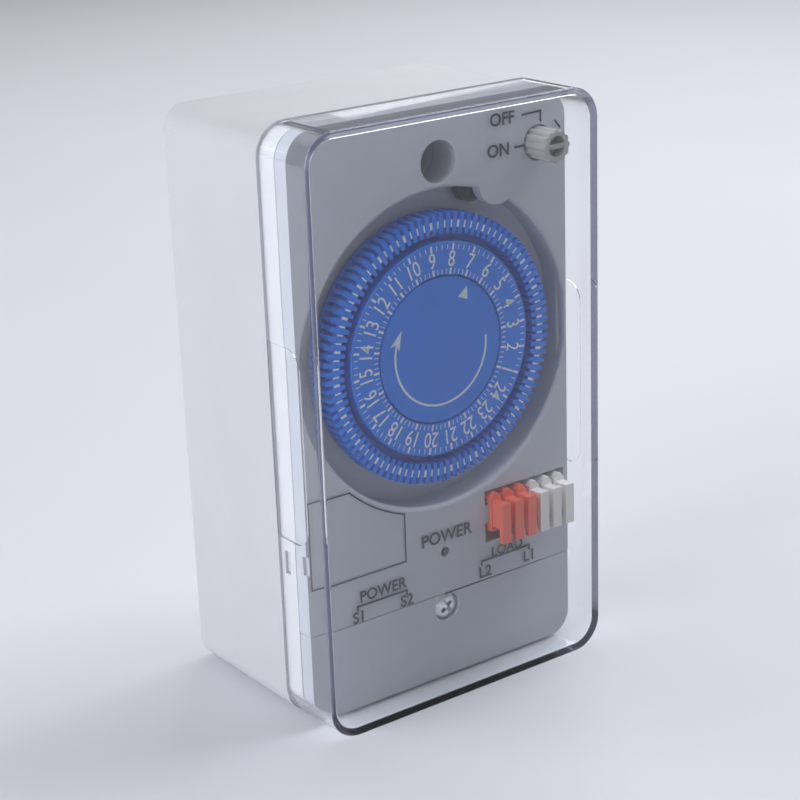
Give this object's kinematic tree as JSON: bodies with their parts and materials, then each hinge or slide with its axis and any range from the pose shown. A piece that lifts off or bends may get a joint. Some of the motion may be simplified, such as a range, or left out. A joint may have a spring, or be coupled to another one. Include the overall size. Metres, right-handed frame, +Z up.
{
  "type": "programmable timer",
  "caption": "Mechanical 24 hour time switch: a geared dial with clip-on riders trips a switch; clear front cover, override knob, stored riders and screwed terminal cover.",
  "frame": {"origin": "middle of the object's bounding box in X and Y, on the surface it stands on", "axes": "+Z up, +X to the right when facing the dial, the clear front faces -Y and the wall is at +Y"},
  "size_m": [0.0696, 0.0508, 0.1207],
  "materials": {
    "housing_plastic": "moulded light grey plastic with a fine texture",
    "clear_plastic": null,
    "panel_plastic": "moulded mid grey plastic, satin",
    "knob_plastic": "moulded beige grey plastic, satin",
    "dial_plastic": "moulded blue plastic with white printing",
    "orange_plastic": "moulded orange red plastic",
    "white_plastic": "moulded off-white plastic",
    "dark_plastic": "moulded dark plastic",
    "gear_plastic": "natural acetal",
    "gear_brass": "stamped and turned brass",
    "zinc_steel": "zinc plated steel",
    "bright_steel": "drawn bright steel",
    "board_laminate": "green circuit board laminate",
    "led_resin": "tinted clear resin",
    "component_sleeve": "shrunk plastic sleeve",
    "component_resin": "dipped resin",
    "red_insulation": "soft plastic wire insulation",
    "blue_insulation": "soft plastic wire insulation"
  },
  "bodies": {
    "housing": {"rear_housing": "housing_plastic", "front_panel": "panel_plastic", "centre_disc": "dial_plastic", "dial_spindle": "bright_steel", "gear_arbors": "bright_steel", "motor_can": "zinc_steel", "motor_screws": "zinc_steel", "gear_plate": "gear_brass", "movement_case": "dark_plastic", "case_screws": "zinc_steel", "fixing_screw": "zinc_steel", "rocker_pin": "bright_steel", "switch_body": "dark_plastic", "switch_tabs": "gear_brass", "circuit_board": "board_laminate", "power_led": "led_resin", "smoothing_capacitor": "component_sleeve", "film_capacitor": "component_resin", "reserve_battery": "component_sleeve", "timing_crystal": "zinc_steel", "terminal_block": "dark_plastic", "clamp_plates": "gear_brass", "terminal_screws": "zinc_steel", "supply_wires": "red_insulation", "load_wires": "blue_insulation"},
    "cover": {"clear_cover": "clear_plastic"},
    "terminal_lid": {"terminal_cover": "panel_plastic", "terminal_cover_screw": "zinc_steel"},
    "dial": {"dial_ring": "dial_plastic", "number_disc": "dial_plastic", "dial_gear": "gear_brass", "clutch_spring": "bright_steel"},
    "gear_a": {"reduction_gear_a": "gear_plastic"},
    "gear_b": {"reduction_gear_b": "gear_plastic"},
    "rotor": {"motor_rotor": "gear_brass"},
    "knob": {"override_knob": "knob_plastic"},
    "trip": {"trip_wheel": "dark_plastic"},
    "rocker": {"trip_rocker": "gear_plastic"},
    "plunger": {"switch_plunger": "orange_plastic"},
    "rider_on_1": {"on_rider_1": "orange_plastic"},
    "rider_on_2": {"on_rider_2": "orange_plastic"},
    "rider_on_3": {"on_rider_3": "orange_plastic"},
    "rider_off_1": {"off_rider_1": "white_plastic"},
    "rider_off_2": {"off_rider_2": "white_plastic"},
    "rider_off_3": {"off_rider_3": "white_plastic"}
  },
  "joints": [
    {"name": "cover_pull", "type": "slide", "parent": "housing", "child": "cover", "axis": [0, -1, 0], "range_m": [0, 0.03]},
    {"name": "terminal_cover_lift", "type": "slide", "parent": "housing", "child": "terminal_lid", "axis": [0, -1, 0], "range_m": [0, 0.005]},
    {"name": "dial_turn", "type": "hinge", "parent": "housing", "child": "dial", "pos_m": [-0.00015, -0.012, 0.072], "axis": [0, 1, 0], "continuous": true},
    {"name": "gear_a_turn", "type": "hinge", "parent": "housing", "child": "gear_a", "pos_m": [-0.01735, -0.01, 0.05995], "axis": [0, 1, 0], "continuous": true},
    {"name": "gear_b_turn", "type": "hinge", "parent": "housing", "child": "gear_b", "pos_m": [-0.00466, -0.007, 0.05404], "axis": [0, 1, 0], "continuous": true},
    {"name": "rotor_turn", "type": "hinge", "parent": "housing", "child": "rotor", "pos_m": [0.00715, -0.005, 0.05612], "axis": [0, 1, 0], "continuous": true},
    {"name": "override_turn", "type": "hinge", "parent": "housing", "child": "knob", "pos_m": [0.0251, -0.02, 0.1095], "axis": [0, 1, 0], "range_deg": [0, 135]},
    {"name": "trip_turn", "type": "hinge", "parent": "housing", "child": "trip", "pos_m": [0.0107, -0.012, 0.1029], "axis": [0, 1, 0], "continuous": true},
    {"name": "rocker_tilt", "type": "hinge", "parent": "housing", "child": "rocker", "pos_m": [0.019, -0.0085, 0.104], "axis": [0, 1, 0], "range_deg": [-3, 3]},
    {"name": "plunger_press", "type": "slide", "parent": "housing", "child": "plunger", "axis": [0, 0, -1], "range_m": [0, 0.0008], "stiffness_N_per_m": 200, "springref_m": -0.002},
    {"name": "rider_on_1_pull", "type": "slide", "parent": "housing", "child": "rider_on_1", "axis": [0, -1, 0], "range_m": [0, 0.0015]},
    {"name": "rider_on_2_pull", "type": "slide", "parent": "housing", "child": "rider_on_2", "axis": [0, -1, 0], "range_m": [0, 0.0015]},
    {"name": "rider_on_3_pull", "type": "slide", "parent": "housing", "child": "rider_on_3", "axis": [0, -1, 0], "range_m": [0, 0.0015]},
    {"name": "rider_off_1_pull", "type": "slide", "parent": "housing", "child": "rider_off_1", "axis": [0, -1, 0], "range_m": [0, 0.0015]},
    {"name": "rider_off_2_pull", "type": "slide", "parent": "housing", "child": "rider_off_2", "axis": [0, -1, 0], "range_m": [0, 0.0015]},
    {"name": "rider_off_3_pull", "type": "slide", "parent": "housing", "child": "rider_off_3", "axis": [0, -1, 0], "range_m": [0, 0.0015]}
  ],
  "couplings": [
    {"joint": "gear_a_turn", "follows": "dial_turn", "ratio": -6},
    {"joint": "gear_b_turn", "follows": "dial_turn", "ratio": 15},
    {"joint": "rotor_turn", "follows": "dial_turn", "ratio": -45}
  ]
}
